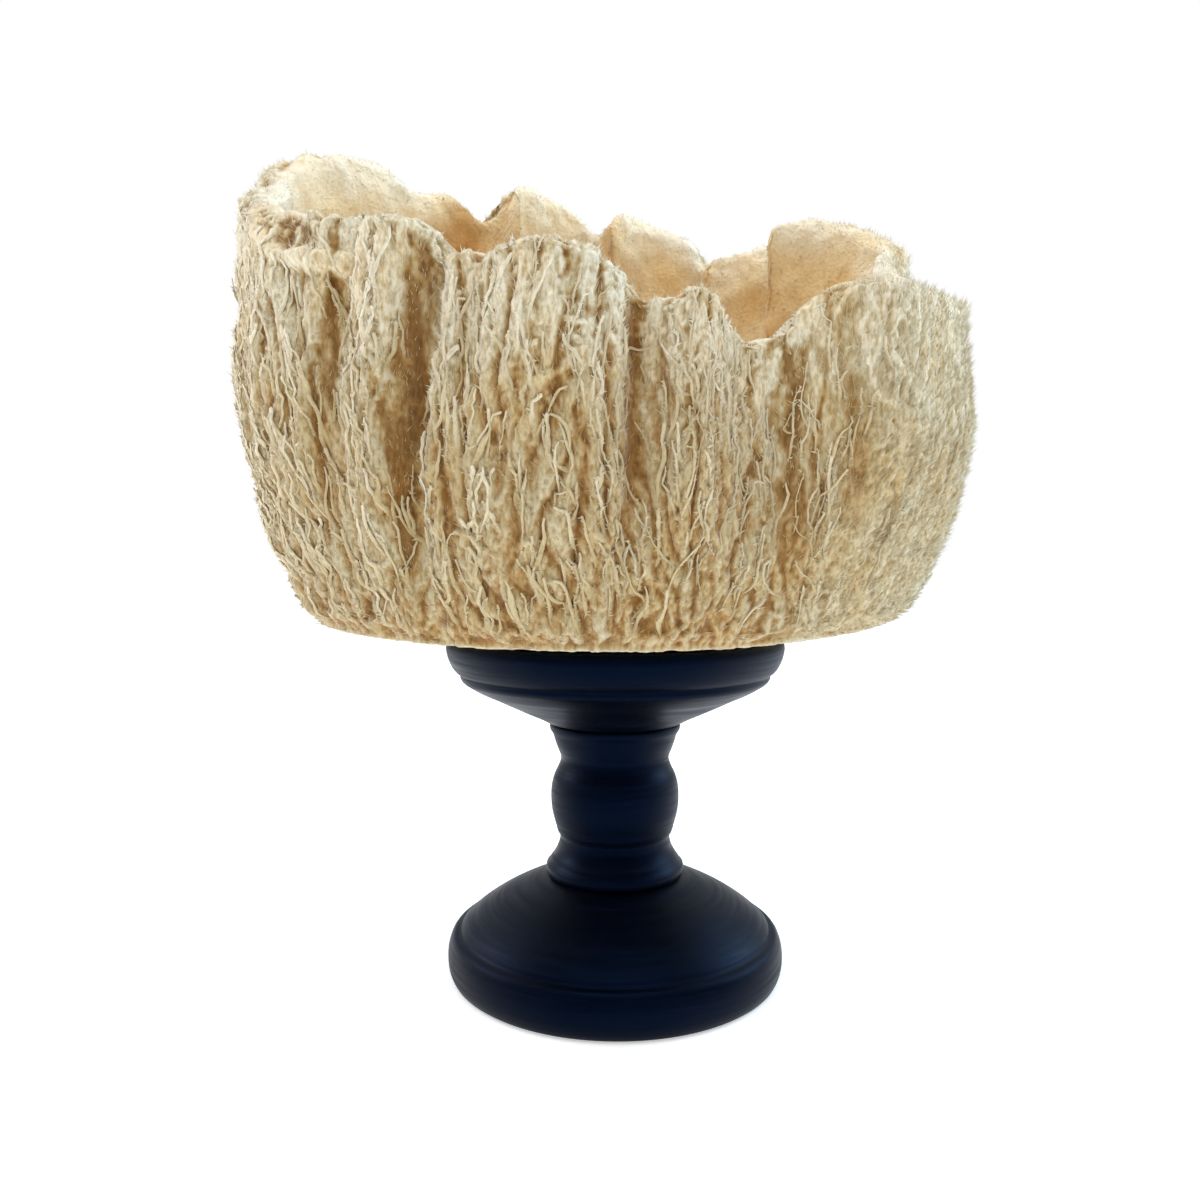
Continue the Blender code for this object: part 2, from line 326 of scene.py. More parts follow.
def broad_relief(azimuth, share):
    """The wall's large grooves and hollows, as a height below its surface."""
    place = wall_point(azimuth, share)
    wander = gradient_noise(place / (16, 16, 26), SEED)[..., None] * (3.5, -3.5, 0)
    ridge = 1 - np.exp(-5 * np.abs(gradient_noise((place + wander) / GROOVE_SCALE, SEED + 1)))
    dent = np.clip(gradient_noise(place / (15, 15, 34), SEED + 3) + 0.1, 0, 1)
    soft = np.maximum(velvet(azimuth), 0.4 * smooth(0.7, 0.85, share))
    groove = (GROOVE_DEPTH * (1 - ridge) + DENT_DEPTH * dent) * (1 - 0.65 * soft) + creases(azimuth, share)
    off_width = (azimuth - HOLLOW_AZIMUTH) / HOLLOW_HALF_WIDTH
    off = off_width ** 2 + ((share - HOLLOW_SHARE) / HOLLOW_HALF_HEIGHT) ** 2
    return -smooth(0.0, 0.06, share) * (groove + HOLLOW_DEPTH * np.exp(-off * off))


def even_columns():
    """Azimuths of the skin's columns, evenly spaced along the folded rim, once round to the first again."""
    fine = np.arange(0, 360.25, 0.25)
    rim = cylinder(fine, wall_radius(fine, np.ones_like(fine)), around(fine, TOP))
    length = np.concatenate([[0], np.cumsum(np.linalg.norm(np.diff(rim, axis=0), axis=1))])
    return np.interp(np.linspace(0, length[-1], SKIN_COLUMNS + 1), length, fine)


def mesh_piece(name, points, quads, triangles, uv, normals=None, others=()):
    """A smooth mesh object from arrays: points in millimetres, faces as rows of point numbers, and a UV for
    each corner. Its shading follows the points' normals where they are given. The others are faces of any
    size."""
    mesh = bpy.data.meshes.new(name)
    corners = np.concatenate([quads.ravel(), triangles.ravel(), *others]).astype(np.int32)
    sizes = [4] * len(quads) + [3] * len(triangles) + [len(face) for face in others]
    starts = np.concatenate([[0], np.cumsum(sizes)[:-1]])
    mesh.vertices.add(len(points))
    mesh.vertices.foreach_set("co", (points * MM).astype(np.float32).ravel())
    mesh.loops.add(len(corners))
    mesh.loops.foreach_set("vertex_index", corners)
    mesh.polygons.add(len(starts))
    mesh.polygons.foreach_set("loop_start", starts.astype(np.int32))
    mesh.polygons.foreach_set("use_smooth", np.ones(len(starts), bool))
    mesh.update(calc_edges=True)
    layer = mesh.uv_layers.new(name="OFBake")
    layer.uv.foreach_set("vector", uv.astype(np.float32).ravel())
    if normals is not None:
        mesh.normals_split_custom_set_from_vertices(unit(normals))
    piece = bpy.data.objects.new(name, mesh)
    bpy.context.scene.collection.objects.link(piece)
    return piece


def running_mean(values, axis):
    """Values averaged with their neighbours along one axis, which closes round."""
    reach = range(-BLUR_REACH, BLUR_REACH + 1)
    return sum(np.roll(values, k, axis) for k in reach) / len(reach)


def corner_uv(u, v):
    """The UVs of face corners as one list, from arrays of u and v, spread to each other's shape."""
    return np.stack(np.broadcast_arrays(u, v), axis=-1).reshape(-1, 2)


def grid_piece(name, rows, first, last, normals=None):
    """A closed piece of rows of points, which turn anticlockwise and go outwards, with a point at each end.
    The rows close round, but where normals are given it is a wedge, with a flat cut on each side."""
    count, columns = rows.shape[:2]
    closed = normals is None
    steps = columns if closed else columns - 1
    below, above = count * columns, count * columns + 1
    points = np.concatenate([rows.reshape(-1, 3), [first, last]])
    r, c = (x.ravel() for x in np.meshgrid(np.arange(count - 1), np.arange(steps), indexing="ij"))
    low, low_beside = r * columns + c, r * columns + (c + 1) % columns
    quads = np.stack([low, low_beside, low_beside + columns, low + columns], axis=1)
    edge = np.arange(steps)
    beside = (edge + 1) % columns
    top = below - columns
    triangles = np.concatenate([
        np.stack([0 * edge + below, beside, edge], axis=1),
        np.stack([top + edge, top + beside, 0 * edge + above], axis=1),
    ])
    u, v = 1 / steps, 1 / (count + 1)
    row_v = np.stack([r, r, r + 1, r + 1], axis=1) * v + v
    uv = [
        corner_uv(np.stack([c, c + 1, c + 1, c], axis=1) * u, row_v),
        corner_uv(np.stack([edge + 0.5, edge + 1, edge], axis=1) * u, (0, v, v)),
        corner_uv(np.stack([edge, edge + 1, edge + 0.5], axis=1) * u, (1 - v, 1 - v, 1)),
    ]
    cuts = []
    if not closed:
        normals = np.concatenate([normals.reshape(-1, 3), [(0, 0, -1), (0, 0, 1)]])
        cuts = [
            [below, *range(0, below, columns), above],
            [above, *range(below - 1, 0, -columns), below],
        ]
        uv.append(np.zeros((2 * count + 4, 2)))
    return mesh_piece(name, points, quads, triangles, np.concatenate(uv), normals, cuts)


def point_colour(piece, values):
    """A colour for each point: painted groove shade to pale crest in red, velvet in green, the cup's inside
    in blue.
    """
    layer = piece.data.color_attributes.new("tone", "FLOAT_COLOR", "POINT")
    layer.data.foreach_set("color", np.concatenate([values, np.ones((len(values), 1))], axis=1).ravel())


def painted_inner_shade(azimuth, past):
    """Painted shade of the inside, as how far it turns to gold: down in the cup and in the recesses between
    its lobes.
    """
    value = 0.5 * smooth(15, 40, past)
    for middle, width, amount in RECESSES:
        off = ((azimuth - middle + 180) % 360 - 180) / width
        value = value + amount * np.exp(-off * off) * smooth(2, 10, past) * (1 - 0.7 * smooth(22, 50, past))
    return value


class Skin:
    """The sponge's surface as rows and columns of points: their places, outward normals and heights."""

    def __init__(self):
        self.azimuth = even_columns()
        self.foot = wall_foot(self.azimuth)
        self.tall = around(self.azimuth, TOP) - self.foot
        self.half = rim_thickness(self.azimuth) / 2
        self.ridge = self.tall - self.half
        outer = (LOWEST + (1 - LOWEST) * np.arange(OUTER_RINGS) / OUTER_RINGS)[:, None] * self.ridge
        rim = self.ridge + math.pi * self.half * (np.arange(RIM_RINGS) / RIM_RINGS)[:, None]
        depth = self.foot + self.ridge - FLOOR
        sunk = (np.linspace(0, 1, INNER_RINGS) ** INNER_STEP)[:, None]
        inner = self.ridge + math.pi * self.half + depth * sunk
        climb = np.concatenate([outer, rim, inner])
        self.past = climb - self.ridge
        self.share = climb / self.tall
        self.place, self.normal = wall_frame(self.azimuth + 0 * climb, self.share)[:2]
        deep = np.clip((self.past - math.pi * self.half) / depth, 0, 1) ** 1.5
        thick = 2 * self.half + np.where(self.past > 0, (FOOT_THICKNESS - 2 * self.half) * deep, 0)
        facing = np.abs(np.sum(self.normal[..., :2] * cylinder(self.azimuth, 1, 0)[:, :2], axis=-1))
        self.room = 0.5 * thick * np.where((self.past > 0) & (deep == 0), 1, facing)
        rounded = self.place[:, :-1]
        for _ in range(3):
            rounded = running_mean(rounded, 1)
        part = smooth(0, 1.5 * self.half, self.past)[..., None]
        self.place = self.place * (1 - part) + np.concatenate([rounded, rounded[:, :1]], axis=1) * part
        self.broad = broad_relief(self.azimuth + 0 * climb, self.share)
        self.height = self.broad - DEEPEST

    def cell(self, azimuth, share):
        """Row and column, with fractions, of places on the outer wall, the rim and the inside."""
        azimuth = azimuth % 360
        column = np.interp(azimuth, self.azimuth, np.arange(SKIN_COLUMNS + 1))
        tall, ridge, half = (np.interp(azimuth, self.azimuth, v) for v in (self.tall, self.ridge, self.half))
        climb = share * tall
        below = (climb / ridge - LOWEST) / (1 - LOWEST) * OUTER_RINGS
        above = OUTER_RINGS + (climb - ridge) / (math.pi * half) * RIM_RINGS
        depth = np.interp(azimuth, self.azimuth, self.foot + self.ridge - FLOOR)
        down = np.clip((climb - ridge - math.pi * half) / depth, 0, 1) ** (1 / INNER_STEP)
        over = np.minimum(above, OUTER_RINGS + RIM_RINGS) + down * (INNER_RINGS - 1)
        row = np.where(climb < ridge, below, over)
        return np.clip(row, 0, len(self.height) - 1), column

    def raise_along(self, azimuth, share, radius, level, reach=4):
        """Raises soft tubes out of the skin along courses, with a radius and a level over the broad relief
        for each of their points. Reach is how many rows and columns a tube may cover to each side."""
        row, column = self.cell(azimuth, share)
        centre = wall_point(azimuth, share).reshape(-1, 1, 3)
        row = np.rint(row).astype(int).ravel()[:, None]
        column = np.rint(column).astype(int).ravel()[:, None]
        rows_off, columns_off = (x.ravel() for x in np.meshgrid(*2 * [np.arange(-reach, reach + 1)]))
        at_row = np.clip(row + rows_off, 0, len(self.height) - 1)
        at_column = (column + columns_off) % SKIN_COLUMNS
        apart = np.sum((self.place[at_row, at_column] - centre) ** 2, axis=-1)
        top = self.broad[at_row, at_column] + level.reshape(-1, 1)
        np.maximum.at(self.height, (at_row, at_column), top - 0.5 * apart / radius.reshape(-1, 1))
        self.height[:, -1] = self.height[:, 0]

    def finish(self):
        """Adds the fine bumps and the soft lumps of the rim and the inside."""
        inside = smooth(0.9 * self.half, 2.6 * self.half, self.past)
        bump = gradient_noise(self.place / 1.3, SEED + 4)
        fold = gradient_noise(self.place / (11, 11, 18), SEED + 7)
        lump = gradient_noise(self.place / 5, SEED + 8)
        inner = FOLD_DEEP * fold + LUMP_DEEP * lump + BUMP_DEEP * bump - 0.7
        foot = smooth(0, 0.012, self.share)
        calm = 1 - 0.5 * velvet(self.azimuth)
        outer = self.broad - 1 + (self.height - self.broad + 1) * calm + BUMP_DEEP * bump
        height = outer * foot * (1 - inside) + inner * inside
        self.raised = height
        self.height = np.where(height < 0, -self.room * (1 - np.exp(height / self.room)), height)
        self.height[:, -1] = self.height[:, 0]
        self.inside = inside

    def at(self, values, azimuth, share):
        """The values of a grid of the skin, such as its heights, at places on it."""
        row, column = self.cell(azimuth, share)
        r = np.minimum(row.astype(int), len(self.height) - 2)
        c = np.minimum(column.astype(int), SKIN_COLUMNS - 1)
        y, x = row - r, column - c
        if values.ndim == 3:
            y, x = y[..., None], x[..., None]
        low = values[r, c] * (1 - x) + values[r, c + 1] * x
        high = values[r + 1, c] * (1 - x) + values[r + 1, c + 1] * x
        return low * (1 - y) + high * y

    def tones(self):
        """Painted groove shade to crest, velvet and inside, from 0 to 1, at each point."""
        blur = running_mean(running_mean(self.raised, 0), 1)
        contrast = LOCAL_CONTRAST * (1 - 0.6 * velvet(self.azimuth))
        # Painted shade: darker low in the relief and in the gaps between strands.
        crest = (1 + 0.6 * self.raised / TONE_DEPTH + contrast * (self.raised - blur)).clip(0, 1.05)
        # Darker towards the foot: partly painted shade of the lower wall, partly the sponge's own paler
        # growing rim.
        crest = crest * (1 - LOWER_DARKER * (1 - smooth(0.5, 0.95, self.share)))
        # Painted shade inside: darker down in the cup, in its recesses and in the hollows between its lumps.
        inner = 1 - painted_inner_shade(self.azimuth, self.past) + 0.1 * self.height
        tone = crest * (1 - self.inside) + inner * self.inside
        return np.stack(np.broadcast_arrays(tone, velvet(self.azimuth), self.inside), axis=-1).clip(0, 1)

    def pieces(self):
        """The whole sponge in closed wedges: underside, outer wall, rim, inside and floor."""
        place = self.place + self.normal * self.height[..., None]
        base = wall_radius(self.azimuth, 0 * self.azimuth)
        below, floor, floor_tones = [], [], []
        for part in SEAT_RING_SHARES:
            below.append(cylinder(self.azimuth, part * SEAT_RADIUS, SEAT))
        for part in UNDER_RING_SHARES:
            level = SEAT + part * (self.foot - SEAT)
            ring = cylinder(self.azimuth, SEAT_RADIUS + part * (base - SEAT_RADIUS), level)
            ring[:, 2] += UNDER_LUMPS * np.abs(gradient_noise(ring / 3, SEED + 5))
            below.append(ring)
        radius = np.hypot(place[-1, :, 0], place[-1, :, 1])
        for part in np.linspace(0.92, 0.08, FLOOR_RINGS):
            ring = cylinder(self.azimuth, radius * part, FLOOR - FLOOR_DISH * (1 - part * part))
            lumps = FLOOR_LUMPS * gradient_noise(ring / 10, SEED + 9)
            ring[:, 2] += lumps
            floor.append(ring)
            # Painted shade deep in the cup: the floor is darker towards its middle and in the hollows
            # between its lumps.
            tone = 0.35 + 0.15 * part + 0.08 * lumps
            floor_tones.append(np.stack([tone, 0 * lumps, 1 + 0 * lumps], axis=-1))
        rows = np.concatenate([below, place, floor])
        under_tones = np.full((len(below), SKIN_COLUMNS + 1, 3), UNDER_TONE)
        tones = np.concatenate([under_tones, self.tones(), floor_tones])
        rows[:, -1] = rows[:, 0]
        tones[:, -1] = tones[:, 0]
        across = np.roll(rows[:, :-1], -1, axis=1) - np.roll(rows[:, :-1], 1, axis=1)
        normals = np.cross(np.concatenate([across, across[:, :1]], axis=1), np.gradient(rows, axis=0))
        wide = SKIN_COLUMNS // len(SIDES)
        made = []
        for k, side in enumerate(SIDES):
            part = slice(k * wide, (k + 1) * wide + 1)
            middle = (0, 0, FLOOR - FLOOR_DISH)
            piece = grid_piece("sponge_body_" + side, rows[:, part], (0, 0, SEAT), middle, normals[:, part])
            point_colour(piece, [*tones[:, part].reshape(-1, 3), UNDER_TONE, MIDDLE_TONE])
            made.append(piece)
        return made


def swelling(shape, amount, least, most, rng):
    """Factors for the radius along strands, which swell and thin by about this amount."""
    return np.clip(1 + amount * knobs(shape, rng), least, most)


def grow(azimuth, share, length, lean, points, wander, rng):
    """Courses of strands that climb the wall from their roots, as azimuth and share at each point, with a
    length and a first lean for each. Wander is how far they turn from point to point, in degrees. A few
    kinks are sharp, and some of the tips curl over."""
    step = length / (points - 1)
    heading = lean.copy()
    places = [(azimuth.copy(), share.copy())]
    kink = rng.normal(size=(len(azimuth), points)) * wander
    kink *= np.where(rng.uniform(size=kink.shape) < 0.12, 3, 1)
    curl = rng.choice((-1, 1), len(azimuth)) * rng.uniform(60, 150, len(azimuth))
    curl *= rng.uniform(0, 1, len(azimuth)) < 0.2
    kink += curl[:, None] * smooth(0.6, 1, np.arange(points) / points) * 3 / points
    for k in range(1, points):
        a, s = places[-1]
        point, _, per_degree, per_height = wall_frame(a, s)
        flow = FLOW * gradient_noise(point / FLOW_SCALE, SEED + 10)
        heading += kink[:, k] + 0.3 * (flow - heading)
        turn = np.radians(heading)
        a = a + step * np.sin(turn) / np.maximum(per_degree, 0.5)
        s = np.clip(s + step * np.cos(turn) / per_height, 0.01, 0.97)
        places.append((a, s))
    return np.stack([p[0] for p in places], axis=1), np.stack([p[1] for p in places], axis=1)


def resample(values, count):
    """Rows of values at evenly spaced places, at this many places instead."""
    at = np.linspace(0, values.shape[1] - 1, count)
    low = np.minimum(at.astype(int), values.shape[1] - 2)
    part = at - low
    return values[:, low] * (1 - part) + values[:, low + 1] * part


def knobs(shape, rng):
    """Random swellings along strands, smooth from one point to the next."""
    rough = rng.normal(size=shape)
    return (np.roll(rough, 1, axis=1) + 2 * rough + np.roll(rough, -1, axis=1)) / 2.5


def tubes(name, points, normals, radius, tones):
    """Closed tubes along courses of points, joined in one mesh, with a radius for each point. The UV runs
    from root to tip, and across by the strand's tone."""
    count, length = radius.shape
    sides = CORD_SIDES
    tangent = unit(np.gradient(points, axis=1))
    side = unit(np.cross(tangent, normals))
    out = np.cross(side, tangent)
    angle = 2 * np.pi * np.arange(sides) / sides
    spokes = np.cos(angle)[:, None] * side[:, :, None] + np.sin(angle)[:, None] * out[:, :, None]
    ring = points[:, :, None] + radius[:, :, None, None] * spokes
    tip = points[:, -1:] + 0.8 * tangent[:, -1:] * radius[:, -1, None, None]
    each = length * sides + 1
    verts = np.concatenate([ring.reshape(count, -1, 3), tip], axis=1).reshape(-1, 3)
    facing = (1 - WALL_SHADING) * spokes + WALL_SHADING * normals[:, :, None]
    at_tip = (1 - WALL_SHADING) * tangent[:, -1:] + WALL_SHADING * normals[:, -1:]
    facing = np.concatenate([facing.reshape(count, -1, 3), at_tip], axis=1).reshape(-1, 3)
    start = (np.arange(count) * each)[:, None]
    j, s = (x.ravel() for x in np.meshgrid(np.arange(length - 1), np.arange(sides), indexing="ij"))
    beside = (s + 1) % sides
    quads = np.stack([
        start + j * sides + s, start + (j + 1) * sides + s,
        start + (j + 1) * sides + beside, start + j * sides + beside,
    ], axis=-1)
    along, across = 1 / length, TONE_BAND / sides
    tone = tones[:, None, None]
    uv = [corner_uv(np.stack([j, j + 1, j + 1, j], axis=1) * along,
                    tone + across * np.stack([s, s, s + 1, s + 1], axis=1))]
    s = np.arange(sides)
    end = start + (length - 1) * sides
    tips = np.stack([end + s, start + each - 1 + 0 * s, end + (s + 1) % sides], axis=-1)
    uv.append(corner_uv((1 - along, 1.0, 1 - along), tone + across * np.stack([s, s + 0.5, s + 1], axis=1)))
    fan = np.arange(1, sides - 1)
    cap = np.stack([start + 0 * fan, start + fan, start + fan + 1], axis=-1)
    uv.append(corner_uv(0.0, tone + across * np.stack([0 * fan, fan, fan + 1], axis=1)))
    triangles = np.concatenate([tips.reshape(-1, 3), cap.reshape(-1, 3)])
    return mesh_piece(name, verts, quads.reshape(-1, 4), triangles, np.concatenate(uv), facing)


def spikes(name, roots, tips, normals, width, tones, first):
    """Short hairs, each a slim three-sided spike with a closed root. The UV starts at the value first."""
    count = len(roots)
    along = unit(tips - roots)
    side = unit(np.cross(along, (0.31, 0.17, 0.94)))
    over = np.cross(along, side)
    corners = [
        roots + width[:, None] * (math.cos(turn) * side + math.sin(turn) * over)
        for turn in (0, 2 * math.pi / 3, 4 * math.pi / 3)
    ]
    verts = np.stack([*corners, tips], axis=1)
    facing = unit(verts - roots[:, None]) * (1 - WALL_SHADING) + WALL_SHADING * normals[:, None]
    start = (4 * np.arange(count))[:, None, None]
    triangles = (start + np.array([(0, 1, 3), (1, 2, 3), (2, 0, 3), (2, 1, 0)])).reshape(-1, 3)
    u = [(first, first, 1)] * 3 + [(first, first, first)]
    v = tones[:, None, None] + TONE_BAND / 3 * np.array([(0, 1, 0.5), (1, 2, 1.5), (2, 3, 2.5), (2, 1, 0)])
    uv = corner_uv(u, v)
    none = np.zeros((0, 4), int)
    return mesh_piece(name, verts.reshape(-1, 3), none, triangles, uv, facing.reshape(-1, 3))


def hairs(name, azimuth, roots, tips, normals, width, tones, first):
    """Short hairs as a piece for each side."""
    return [
        spikes(name + side, roots[mine], tips[mine], normals[mine], width[mine], tones[mine], first)
        for side, mine in in_sectors(azimuth)
    ]


def scattered(count, keep, rng, highest=1.0):
    """Places spread evenly up to the highest share, thinned by the share that keep gives for each place."""
    azimuth, share = [], []
    found = 0
    while found < count:
        a = rng.uniform(0, 360, 4 * count)
        s = rng.uniform(0, highest, 4 * count)
        per_degree = wall_frame(a, s)[2]
        area = per_degree * (around(a, TOP) - wall_foot(a))
        chosen = rng.uniform(0, 1, 4 * count) < area / LARGEST_AREA * keep(a, s)
        azimuth.append(a[chosen])
        share.append(s[chosen])
        found += chosen.sum()
    return np.concatenate(azimuth)[:count], np.concatenate(share)[:count]


def in_sectors(azimuth):
    """Each side's name, and which strands have their root in its quarter of the round."""
    for k, name in enumerate(SIDES):
        yield name, ((azimuth - 90 * k + 45) % 360) < 90


def ridge_tone(skin, azimuth, share, rng):
    """The tone of strands: amber down in the grooves as painted shade, and pale on the ridges, with some
    spread. It is darker towards the foot, partly as painted shade.
    """
    crest = np.clip(1 + skin.at(skin.height, azimuth, share) / TONE_DEPTH, 0, 1)
    fall = 1 - LOWER_DARKER * (1 - smooth(0.5, 0.95, share))
    return np.clip(crest ** 1.3 * fall + rng.normal(0, 0.06, len(azimuth)), 0.02, 0.97)


def cord_cover(low, high, thinned):
    """Where cords grow: thickly, but thinned in the grooves, on the velvety lobe and up the wall, from the
    lower of two shares to the higher one."""
    def keep(a, s):
        crest = np.clip(1.2 + broad_relief(a, s) / 4, 0.2, 1)
        return crest * (1 - 0.9 * velvet(a)) * (1 - thinned * smooth(low, high, s))

    return keep


def slimness(azimuth):
    """1 on the right half of the front, whose cords are slim, and 0 elsewhere."""
    return smooth(270, 282, azimuth) * (1 - smooth(303, 312, azimuth))


def embed_slim_strands(skin, rng):
    """The skin's ground: slim strands side by side, short and close on the velvety lobe."""
    count, points = SLIM_STRANDS, 6
    azimuth, share = scattered(count, lambda a, s: 1 + 0 * a, rng)
    furry = velvet(azimuth)
    length = rng.uniform(5, 14, count) * (1 - 0.55 * furry)
    a, s = grow(azimuth, share, length, rng.normal(0, 20, count) * (1 + 2 * furry), points, 16, rng)
    samples = 18
    a, s = resample(a, samples), resample(s, samples)
    radius = rng.uniform(0.4, 0.65, count) * (1 - 0.2 * furry)
    radius = radius[:, None] * swelling(a.shape, 0.25, 0.6, 1.5, rng)
    level = rng.uniform(-1.9, -0.5, count) * (1 - 0.5 * furry) - 0.3 * furry
    level = level[:, None] + 0.2 * knobs(a.shape, rng) + 0.5 * np.linspace(0, 1, samples)
    skin.raise_along(a, s, radius, level, reach=3)


def embed_cords(skin, rng):
    """Thicker cords in the skin, which climb and fork, with knobs along them."""
    count, points, samples = THICK_CORDS, 14, 56
    azimuth, share = scattered(count, cord_cover(0.72, 0.88, 0.75), rng)
    length = rng.uniform(16, 40, count) * (1 - 0.3 * smooth(0.5, 0.8, share))
    lean = rng.normal(0, 16, count)
    a, s = grow(azimuth, share, length, lean, points, 15, rng)
    radius = rng.uniform(0.45, 0.82, count) * (1 - 0.2 * slimness(azimuth))
    level = rng.uniform(-1.0, 0.7, count)
    which = np.flatnonzero(rng.uniform(0, 1, count) < 0.6)
    at = rng.integers(3, 10, len(which))
    side = np.where(rng.uniform(0, 1, len(which)) < 0.5, -1, 1)
    fork = grow(a[which, at], s[which, at], length[which] * rng.uniform(0.3, 0.55, len(which)),
                lean[which] + side * rng.uniform(22, 48, len(which)), points, 12, rng)
    a = resample(np.concatenate([a, fork[0]]), samples)
    s = resample(np.concatenate([s, fork[1]]), samples)
    radius = np.concatenate([radius, 0.8 * radius[which]])[:, None]
    level = np.concatenate([level, level[which]])[:, None]
    t = np.linspace(0, 1, samples)
    radius = radius * (1 - 0.35 * t) * swelling(a.shape, 0.25, 0.6, 1.6, rng)
    level = level + 0.15 * knobs(a.shape, rng) - 0.8 * (1 - smooth(0, 0.2, t)) + 0.3 * t
    skin.raise_along(a, s, radius, level)


def embed_locks(skin, rng):
    """Thick soft locks side by side up to the rim, and the fingers and roll of the front rim, which are
    listed."""
    count, samples = LOCKS, 44
    azimuth = np.interp(rng.uniform(0, SKIN_COLUMNS, count), np.arange(SKIN_COLUMNS + 1), skin.azimuth)
    azimuth = azimuth[rng.uniform(0, 1, count) > velvet(azimuth)]
    count = len(azimuth)
    front = smooth(170, 190, azimuth) * (1 - smooth(300, 306, azimuth))
    tall = rng.uniform(0, 1, count) < 0.6
    tip = np.where(tall, rng.uniform(0.96, 1.06, count), rng.uniform(0.8, 0.96, count))
    tip = np.minimum(tip, 1.0 + 0.06 * front)
    root = tip - rng.uniform(0.12, 0.3, count)
    radius = rng.uniform(0.8, 1.35, count)
    level = rng.uniform(-0.6, 0.7, count)
    bow = rng.normal(0, 2.5, count)
    placed = np.array(FINGERS)
    azimuth, root, tip, radius, level = (
        np.concatenate([mine, placed[:, k]])
        for k, mine in ((0, azimuth), (1, root), (2, tip), (3, radius), (4, level))
    )
    bow = np.concatenate([bow, 0 * placed[:, 0]])
    t = np.linspace(0, 1, samples)
    per_degree = wall_frame(azimuth, tip)[2]
    sway = bow[:, None] * (t - 1) + np.cumsum(rng.normal(0, 0.16, (len(azimuth), samples)), axis=1)
    a = azimuth[:, None] + sway / np.maximum(per_degree, 0.8)[:, None]
    s = root[:, None] + (tip - root)[:, None] * t
    roll = np.array(ROLL)
    a = np.concatenate([a, roll[:, :1, 0] + (roll[:, 1:, 0] - roll[:, :1, 0]) * t])
    s = np.concatenate([s, roll[:, :1, 1] + (roll[:, 1:, 1] - roll[:, :1, 1]) * t])
    radius = np.append(radius, [ROLL_THICKNESS] * len(roll))[:, None]
    level = np.append(level, [ROLL_STAND_OUT] * len(roll))[:, None]
    radius = radius * (0.75 + 0.25 * smooth(0, 0.5, t)) * swelling(a.shape, 0.16, 0.7, 1.4, rng)
    level = level - 1.2 * (1 - smooth(0, 0.5, t)) + 0.2 * knobs(a.shape, rng)
    skin.raise_along(a, s, radius, level, reach=6)


def cords(skin, rng):
    """Cords that stand free of the skin: their tips lift off it, and their down is fine and short."""
    count, points = FREE_CORDS, 12
    azimuth, share = scattered(count, cord_cover(0.66, 0.84, 0.85), rng)
    length = rng.uniform(8, 22, count)
    a, s = grow(azimuth, share, length, rng.normal(0, 14, count), points, 10, rng)
    t = np.linspace(0, 1, points)
    point, normals = wall_frame(a, s)[:2]
    lift = rng.uniform(0.1, 1.3, count)[:, None] * t ** 1.5 - 0.5 * (1 - smooth(0, 0.3, t))
    laid = point + normals * (skin.at(skin.height, a, s) + lift).clip(None, 2.0)[..., None]
    # Painted shade: a cord is darker where its middle lies down in a groove.
    tone = 0.4 + 0.7 * ridge_tone(skin, a[:, points // 2], s[:, points // 2], rng)
    tone = np.clip(tone, 0.55, 0.97)
    thick = rng.uniform(0.4, 0.72, count) * (1 - 0.25 * slimness(azimuth))
    radius = thick[:, None] * (1 - 0.4 * t) * (0.6 + 0.4 * smooth(0, 0.2, t))
    radius = radius * swelling(a.shape, 0.3, 0.5, 1.7, rng)
    made = [
        tubes("sponge_cords_" + name, laid[chosen], normals[chosen], radius[chosen], tone[chosen])
        for name, chosen in in_sectors(azimuth)
    ]
    return made + down(laid, normals, radius, tone, azimuth, rng)


def down(courses, normals, radius, tones, azimuth, rng):
    """The down on the free cords: short stubs that stand off them all along."""
    last = courses.shape[1] - 1
    which = rng.integers(0, len(courses), DOWN_HAIRS)
    along = rng.uniform(0.5, last - 0.01, DOWN_HAIRS)
    low = along.astype(int)
    part = (along - low)[:, None]
    middle = courses[which, low] * (1 - part) + courses[which, low + 1] * part
    tangent = unit(courses[which, low + 1] - courses[which, low])
    normal = normals[which, low]
    side = unit(np.cross(tangent, normal))
    turn = rng.uniform(-0.15 * math.pi, 1.15 * math.pi, DOWN_HAIRS)[:, None]
    radial = np.cos(turn) * side + np.sin(turn) * normal
    roots = middle + radial * radius[which, low][:, None] * 0.5
    direction = radial + tangent * rng.uniform(0.1, 1.3, DOWN_HAIRS)[:, None]
    length = radius[which, low] * 0.5 + rng.uniform(0.4, 1.2, DOWN_HAIRS)
    tips = roots + unit(direction) * length[:, None]
    width = rng.uniform(0.2, 0.36, DOWN_HAIRS)
    return hairs("sponge_cord_down_", azimuth[which], roots, tips, normal, width, tones[which], 0.6)


